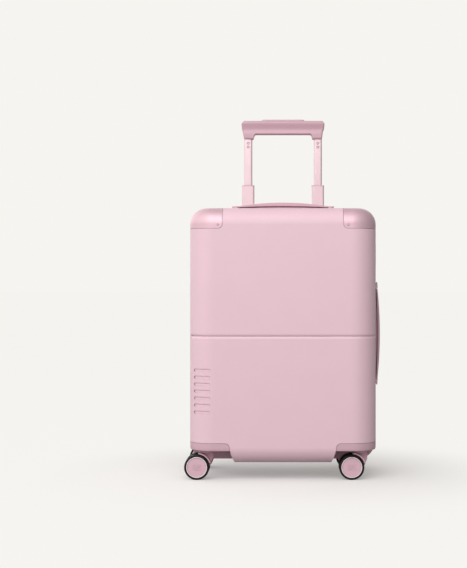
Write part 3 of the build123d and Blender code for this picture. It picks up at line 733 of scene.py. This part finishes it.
def make_grip():
    """The waisted handle that the hand pulls, with a sunk pocket for its button."""
    columns = 96
    half_ring = 26
    top_round, foot_round, end_round = 4.5 * MM, 3.0 * MM, 3.4 * MM
    rings = []
    ear_drop = GRIP_TOP - GRIP_LOW[2]
    bar_drop = GRIP_TOP - GRIP_UNDER
    for i in range(columns + 1):
        u = -math.cos(math.pi * i / columns)
        u = u * 0.35 + (2 * i / columns - 1) * 0.65
        across = abs(u) * grip_reach(30 * MM)
        inside = EAR_INNER + 0.4 * MM - across
        foot = ear_drop
        if inside > 0:
            sink = (ear_drop - bar_drop) * max(1 - inside / EAR_FILLET, 0) ** 3
            foot = bar_drop + sink
        end_gap = (1 - abs(u)) * grip_reach(0)
        squeeze = 0.0
        if end_gap < end_round:
            squeeze = end_round - math.sqrt(max(end_round ** 2 - (end_round - end_gap) ** 2, 0))
        ring = []
        for side in (-1, 1):
            steps = range(half_ring) if side < 0 else reversed(range(half_ring))
            for k in steps:
                f = k / (half_ring - 1)
                drop = squeeze + f * (foot - 2 * squeeze)
                depth = grip_depth(drop) - squeeze
                for gap, radius in ((drop - squeeze, top_round), (foot - squeeze - drop, foot_round)):
                    if gap < radius:
                        depth -= radius - math.sqrt(max(radius ** 2 - (radius - gap) ** 2, 0))
                depth = max(depth, 0.4 * MM)
                ring.append(Vector((u * grip_reach(drop), GRIP_Y + side * depth, GRIP_TOP - drop)))
        rings.append(ring)
    shape = Builder()
    shape.skin(rings)
    button_low, button_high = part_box("trolley_button")
    pocket = Builder()
    length = button_high[0] - button_low[0] + 0.8 * MM
    width = button_high[1] - button_low[1] + 0.8 * MM
    pocket.slab((0, GRIP_Y, GRIP_TOP - 8.5 * MM), X_AXIS, Y_AXIS, Z_AXIS, (length, width, 20 * MM), width / 2,
                lift=0.01 * MM, steps=10)
    grip = cut(shape.mesh("grip"), [pocket.mesh("pocket")])
    add_piece("trolley_grip_moulding", grip, "grip_plastic", "trolley_upper",
              replaces=["trolley_grip"], crease=45)


def make_rivet_rings():
    """A ring of painted shade in the seat of each rivet on the inner tubes."""
    low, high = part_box("trolley_rivets")
    rivet_radius = 2.25 * MM
    shade_ring_radius = 2.3 * MM
    tube_x = high[0] - rivet_radius
    shade_rings = Builder()
    for x in (-tube_x, tube_x):
        for z in (low[2] + rivet_radius, high[2] - rivet_radius):
            for y in (low[1], high[1]):
                path = [Vector((x + math.cos(t) * shade_ring_radius, y, z + math.sin(t) * shade_ring_radius))
                        for t in turned(24)]
                shade_rings.tube(path, 0.42 * MM, sides=8, closed_way=True)
    # painted shade: a dark ring where each rivet meets the tube
    add_piece("trolley_rivet_shade_rings", shade_rings.mesh("shade_rings"), "pin_steel", "trolley_upper", finish=PAINTED_SHADE_AND_PRINT)


# ---------------------------------------------------------------- casters

def make_wheel_trims():
    """A bright ring let into the face of each wheel disc."""
    for half, way in HALVES.items():
        for side in ("left", "right"):
            for which in ("outer", "inner"):
                low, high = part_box(f"{half}_{side}_{which}_hub")
                face_way = way if which == "outer" else -way
                face = high[1] if face_way > 0 else low[1]
                centre = Vector(((low[0] + high[0]) / 2, face, (low[2] + high[2]) / 2))
                radius = (high[0] - low[0]) / 2
                trim = Builder()
                path = [centre + Vector((math.cos(t), 0, math.sin(t))) * (radius - 1.0 * MM)
                        - Y_AXIS * face_way * 0.25 * MM for t in turned(72)]
                trim.tube(path, 0.8 * MM, sides=10, closed_way=True)
                add_piece(f"{half}_{side}_{which}_wheel_trim", trim.mesh("trim"), "hub_plastic",
                          f"{half}_{side}_{which}_wheel", crease=60, finish=BRIGHT_TRIM)


# ---------------------------------------------------------------- lock

DIGIT_SIZE = 3.9 * MM
DIGIT_DEPTH = 0.09 * MM
KEYHOLE_DROP = 7.0 * MM
UPRIGHT = Matrix.Rotation(math.pi / 2, 4, "Z") @ Matrix.Rotation(math.pi / 2, 4, "X")


def digit_mesh(digit):
    """A raised numeral, flat on the ground plane."""
    text = bpy.data.curves.new("digit", "FONT")
    text.body = str(digit)
    text.size = DIGIT_SIZE
    text.align_x = "CENTER"
    text.align_y = "CENTER"
    text.extrude = DIGIT_DEPTH
    holder = bpy.data.objects.new("digit", text)
    bpy.context.collection.objects.link(holder)
    graph = bpy.context.evaluated_depsgraph_get()
    mesh = bpy.data.meshes.new_from_object(holder.evaluated_get(graph), depsgraph=graph)
    bpy.data.objects.remove(holder)
    return mesh


def make_dial_digits(number):
    """The ten digits round one dial."""
    low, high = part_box(f"lock_dial_{number}")
    centre = Vector([(a + b) / 2 for a, b in zip(low, high)])
    radius = (high[0] - low[0]) / 2
    to_rim = Matrix.Translation((radius + 0.02 * MM, 0, 0))
    digits = bmesh.new()
    for digit in range(10):
        mesh = digit_mesh(digit)
        turn = Matrix.Rotation(digit * math.pi / 5, 4, "Z")
        mesh.transform(Matrix.Translation(centre) @ turn @ to_rim @ UPRIGHT)
        digits.from_mesh(mesh)
    ring = bpy.data.meshes.new("digits")
    digits.to_mesh(ring)
    digits.free()
    add_piece(f"lock_dial_{number}_digits", ring, "dial_metal", f"lock_dial_{number}", finish=PAINTED_SHADE_AND_PRINT)


def make_lock_details():
    """Digits on the dials, an index mark beside each, and a keyhole below, its dark slot painted shade."""
    for number in (1, 2, 3):
        make_dial_digits(number)
    low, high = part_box("lock_housing")
    face = high[0]
    dials = [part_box(f"lock_dial_{number}") for number in (1, 2, 3)]
    marks = Builder()
    for dial_low, dial_high in dials:
        z = (dial_low[2] + dial_high[2]) / 2
        centre = (face - 0.05 * MM, dial_low[1] - 0.2 * MM, z)
        marks.slab(centre, Y_AXIS, Z_AXIS, X_AXIS, (1.8 * MM, 0.6 * MM, 0.12 * MM), 0.28 * MM)
    add_piece("lock_index_marks", marks.mesh("marks"), "lock_plastic", "back_half", finish=PAINTED_SHADE_AND_PRINT)
    keyhole = Builder()
    centre = Vector((face - 0.05 * MM, (low[1] + high[1]) / 2, dials[0][0][2] - KEYHOLE_DROP))
    path = [centre + Vector((0, math.cos(t), math.sin(t))) * 3.0 * MM for t in turned(40)]
    keyhole.tube(path, 0.45 * MM, closed_way=True)
    add_piece("lock_keyhole_ring", keyhole.mesh("keyhole_ring"), "pin_steel", "back_half")
    # painted shade: a flat dark slot and round on the lock's face stand in for the keyhole's opening
    slot = Builder()
    slot.slab(centre, Z_AXIS, Y_AXIS, X_AXIS, (3.6 * MM, 1.0 * MM, 0.15 * MM), 0.45 * MM)
    slot.slab(centre, Y_AXIS, Z_AXIS, X_AXIS, (2.0 * MM, 2.0 * MM, 0.14 * MM), 0.95 * MM)
    add_piece("lock_keyhole", slot.mesh("keyhole"), "pin_steel", "back_half", finish=PAINTED_SHADE_AND_PRINT)


# ---------------------------------------------------------------- lining, divider and packing straps

LINING_VOXEL = 3.5 * MM
TRAY_RIM = 3.0 * MM
FAR = 0.4
FOLD_LIFT = 2.6 * MM
PUCKER_LIFT = 0.9 * MM
CLOTH_THICKNESS = 0.8 * MM


def welded(mesh):
    """A copy of a mesh with the points at its faces' borders joined."""
    work = bmesh.new()
    work.from_mesh(mesh)
    bmesh.ops.remove_doubles(work, verts=work.verts, dist=0.001 * MM)
    joined = bpy.data.meshes.new("welded")
    work.to_mesh(joined)
    work.free()
    return joined


def keep_island(mesh, reach):
    """Only the largest separate part of a mesh that lies within a distance of the middle plane."""
    work = bmesh.new()
    work.from_mesh(mesh)
    left_over = set(work.verts)
    islands = []
    while left_over:
        start = left_over.pop()
        island = {start}
        edge = [start]
        while edge:
            vert = edge.pop()
            for link in vert.link_edges:
                other = link.other_vert(vert)
                if other in left_over:
                    left_over.remove(other)
                    island.add(other)
                    edge.append(other)
        islands.append(island)
    near = [island for island in islands if max(abs(vert.co.x) for vert in island) < reach]
    kept = max(near, key=len)
    drop = [vert for island in islands if island is not kept for vert in island]
    bmesh.ops.delete(work, geom=drop, context="VERTS")
    work.to_mesh(mesh)
    work.free()
    return mesh


def make_lining(half):
    """A rumpled cloth tray: the packing space is remeshed, drawn in by wrinkles and opened at the rim."""
    way = HALVES[half]
    tray = f"{half}_lining"
    low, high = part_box(tray)
    floor = (high[1] if way > 0 else -low[1]) - 1.5 * MM
    y = sorted((way * TRAY_RIM, way * (floor + 0.02 * MM)))
    space = cut(box_mesh((-FAR, y[0], -FAR), (FAR, y[1], 2 * FAR)), [welded(nodes[tray].data)])
    solid = keep_island(space, FAR / 2)
    solid = modified(solid, ("REMESH", {"mode": "VOXEL", "voxel_size": LINING_VOXEL}))
    work = bmesh.new()
    work.from_mesh(solid)
    lid = [face for face in work.faces
           if face.calc_center_median().y * way < TRAY_RIM + 2 * MM and abs(face.normal.y) > 0.7]
    bmesh.ops.delete(work, geom=lid, context="FACES")
    bmesh.ops.smooth_vert(work, verts=work.verts, factor=0.5,
                          use_axis_x=True, use_axis_y=True, use_axis_z=True)
    work.normal_update()
    for vert in work.verts:
        rim_fade = min(max((vert.co.y * way - TRAY_RIM) / (12 * MM), 0.0), 1.0)
        long_fold = wrinkle(Vector((vert.co.x, vert.co.y, vert.co.z * 0.35)), 34 * MM, 5.0)
        pucker = wrinkle(vert.co, 11 * MM, 9.0)
        lift = (0.5 + 0.5 * long_fold) * FOLD_LIFT + (0.5 + 0.5 * pucker) * PUCKER_LIFT
        vert.co -= vert.normal * lift * (0.15 + 0.85 * rim_fade)
    work.to_mesh(solid)
    work.free()
    solid = modified(solid, ("SOLIDIFY", {"thickness": CLOTH_THICKNESS, "offset": 1.0}))
    cloth = add_piece(f"{half}_lining_cloth", solid, "lining_cloth", f"{half}_half",
                      replaces=[tray], crease=80)


DIVIDER_ROWS = 26
ZIP_INSET = 9 * MM
ZIP_PITCH = 2.2 * MM
ZIP_TAPE = [(-5.5, 0.5), (-5.5, 1.15), (-5.0, 1.35), (5.0, 1.35), (5.5, 1.15), (5.5, 0.5)]
GATHERS = 62
HEM_SECTION = [(1.4, -3.6), (3.3, -4.0), (3.7, -3.4), (3.7, 3.4), (3.3, 4.0), (1.4, 3.6)]
POCKET_LAYER = 0.5 * MM


def divider_rise(place, face_way, inwards):
    """Half the panel's thickness at a place: thin at its edge, then softly uneven."""
    rise = 0.35 * MM + 0.55 * MM * min(inwards * 6, 1)
    return rise + 0.45 * MM * wrinkle(place, 42 * MM, 2.0 + face_way) * min(inwards * 4, 1)


def make_divider():
    """The zipped cloth panel over the front half, with piping, a zip round it and an open pocket."""
    low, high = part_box("divider_panel")
    inset = SHELL_HIGH[0] - high[0]
    middle = (low[1] + high[1]) / 2
    stations = rim_stations(6 * MM)
    steps = [(-1, row / DIVIDER_ROWS) for row in reversed(range(DIVIDER_ROWS))]
    steps += [(1, row / DIVIDER_ROWS) for row in range(DIVIDER_ROWS)]
    rings = []
    for face_way, inwards in steps:
        ring = []
        for point, out, along in stations:
            place = (point - out * (inset + 0.6 * MM)).lerp(RIM_CENTRE, inwards ** 1.2)
            rise = divider_rise(place, face_way, inwards)
            ring.append(Vector((place.x, middle + face_way * rise, place.z)))
        rings.append(ring)
    shape = Builder()
    shape.skin(rings)
    cloth = add_piece("divider_cloth", shape.mesh("panel"), "lining_cloth", "front_half",
                      replaces=["divider_panel"], crease=60)
    piping = Builder()
    path = [point - out * (inset + 0.9 * MM) + Y_AXIS * middle for point, out, along in stations]
    piping.tube(path, 0.9 * MM, sides=10, closed_way=True)
    add_piece("divider_piping", piping.mesh("piping"), "strap_webbing", "front_half")
    profile = [((inset + ZIP_INSET) / MM + across, middle / MM + up) for across, up in ZIP_TAPE]
    zip_tape = rim_sweep("zip_tape", profile)
    add_piece("divider_zip_tape", zip_tape, "strap_webbing", "front_half", crease=60)
    teeth = Builder()
    count = round(RIM_LENGTH * 0.93 / ZIP_PITCH)
    for i in range(count):
        point, out, along = rim(RIM_LENGTH * i / count)
        side = 0.5 * MM if i % 2 else -0.5 * MM
        centre = point - out * (inset + ZIP_INSET + side) + Y_AXIS * (middle + 1.2 * MM)
        teeth.slab(centre, out, along, Y_AXIS, (2.6 * MM, 1.1 * MM, 0.8 * MM), 0.45 * MM, steps=1)
    add_piece("divider_zip", teeth.mesh("zip"), "trim_plastic", "front_half")
    make_divider_pocket(middle)


def make_divider_pocket(middle):
    """A flat pocket on the divider's inner face, gathered by an elastic hem."""
    half_wide, foot, hem = 0.128, RIM_CENTRE.z - 0.200, RIM_CENTRE.z + 0.045
    columns, rows = 90, 70
    rings = []
    for row in range(rows + 1):
        v = row / rows
        z = foot + (hem - foot) * v
        gather = 0.55 * MM * smooth_between([(0.35, 0.0), (0.95, 1.0)], v)
        ring = []
        for layer in (0, 1):
            line = range(columns + 1) if layer == 0 else reversed(range(columns + 1))
            for column in line:
                u = column / columns * 2 - 1
                belly = 1.1 * MM * (1 - u ** 6) * (1 - (2 * v - 1) ** 6)
                uneven = 0.5 * wrinkle((u * 0.2, 0, z * 0.2), 12 * MM, 6.0)
                fold = gather * (math.sin(u * GATHERS) + uneven) * (1 - u ** 8)
                y = middle + 1.5 * MM + belly + fold + layer * POCKET_LAYER
                ring.append(Vector((u * half_wide, y, z)))
        rings.append(ring)
    shape = Builder()
    shape.skin(rings)
    pocket = add_piece("divider_pocket", shape.mesh("pocket"), "lining_cloth", "front_half", crease=60)
    band = Builder()
    rings = []
    for column in range(columns * 2 + 1):
        u = column / columns - 1
        ripple = 0.25 * MM * math.sin(u * GATHERS)
        x = u * (half_wide + 1 * MM)
        ring = []
        for y, z in HEM_SECTION:
            ring.append(Vector((x, middle + y * MM + ripple, hem + z * MM)))
        rings.append(ring)
    band.skin(rings)
    add_piece("divider_pocket_hem", band.mesh("hem"), "strap_webbing", "front_half", crease=50)


STRAP_X = 62 * MM
STRAP_HALF = 12.3 * MM
STRAP_SECTION = [(-1, -0.25), (-0.97, -0.6), (0.97, -0.6), (1, -0.25),
                 (1, 0.25), (0.97, 0.6), (-0.97, 0.6), (-1, 0.25)]
SEAM_BOX = [(-9, -4), (9, -4), (9, 4), (-9, 4)]
SEAM_LINES = [(0, 1), (1, 2), (2, 3), (3, 0), (0, 2), (1, 3)]
SEAM_PITCH = 2.4 * MM


def make_strap_band(side, way, low, high, face):
    """The webbing, a little slack."""
    rings = []
    steps = 90
    for i in range(steps + 1):
        t = i / steps
        z = low[2] + (high[2] - low[2]) * t
        sag = 1.0 * MM * math.sin(math.pi * t) + 0.25 * MM * wrinkle((0, way, z), 40 * MM, 4.0)
        rings.append([Vector((way * STRAP_X + u * STRAP_HALF, face + sag * 0.6 + v * MM, z))
                      for u, v in STRAP_SECTION])
    band = Builder()
    band.skin(rings)
    add_piece(f"{side}_packing_strap", band.mesh("band"), "strap_webbing", "back_half",
              replaces=["compression_straps"] if way < 0 else (), crease=60)


def make_strap_buckle(side, centre):
    """A side-release buckle: a body with a raised pad, two bars and two prongs."""
    buckle = Builder()
    buckle.slab(centre, Z_AXIS, X_AXIS, Y_AXIS, (26 * MM, 31 * MM, 4.6 * MM), 4 * MM)
    for end in (-1, 1):
        bar = centre + Z_AXIS * end * 17 * MM + Y_AXIS * 0.6 * MM
        buckle.slab(bar, X_AXIS, Z_AXIS, Y_AXIS, (35 * MM, 9 * MM, 3.4 * MM), 3 * MM)
        prong = centre + X_AXIS * end * 14.6 * MM + Y_AXIS * 0.5 * MM
        buckle.slab(prong, Z_AXIS, X_AXIS, Y_AXIS, (19 * MM, 4.4 * MM, 3.6 * MM), 2 * MM)
    pad = centre + Y_AXIS * 4.2 * MM
    buckle.slab(pad, Z_AXIS, X_AXIS, Y_AXIS, (15 * MM, 13 * MM, 0.7 * MM), 3 * MM)
    add_piece(f"{side}_packing_buckle", buckle.mesh("buckle"), "trim_plastic", "back_half")


def make_strap_seams(side, x, y, ends):
    """A box with a cross, stitched at each end of a strap."""
    seams = Builder()
    for end in ends:
        corners = [Vector((x + across * MM, y, end + up * MM)) for across, up in SEAM_BOX]
        for first, last in SEAM_LINES:
            start, stop = corners[first], corners[last]
            count = max(int((stop - start).length / SEAM_PITCH), 1)
            for k in range(count):
                p = start.lerp(stop, (k + 0.15) / count)
                q = start.lerp(stop, (k + 0.8) / count)
                seams.tube([p, q], 0.22 * MM, sides=5)
    add_piece(f"{side}_strap_seams", seams.mesh("seams"), "lining_cloth", "back_half")


def make_straps():
    """Two webbing straps across the back half, each with a buckle and sewn ends."""
    low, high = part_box("compression_straps")
    face = (low[1] + high[1]) / 2
    for side, way in (("left", -1), ("right", 1)):
        x = way * STRAP_X
        make_strap_band(side, way, low, high, face)
        make_strap_buckle(side, Vector((x, face - 1.8 * MM, RIM_CENTRE.z)))
        make_strap_seams(side, x, face + 0.75 * MM, (low[2] + 8 * MM, high[2] - 8 * MM))


bpy.context.scene.view_settings.view_transform = "Standard"
make_camera()
make_world()
make_key_light()
make_floor()
dress_cad()
make_zipper()
make_hinge_cloth()
make_grip()
make_rivet_rings()
make_wheel_trims()
make_lock_details()
make_lining("front")
make_lining("back")
make_divider()
make_straps()
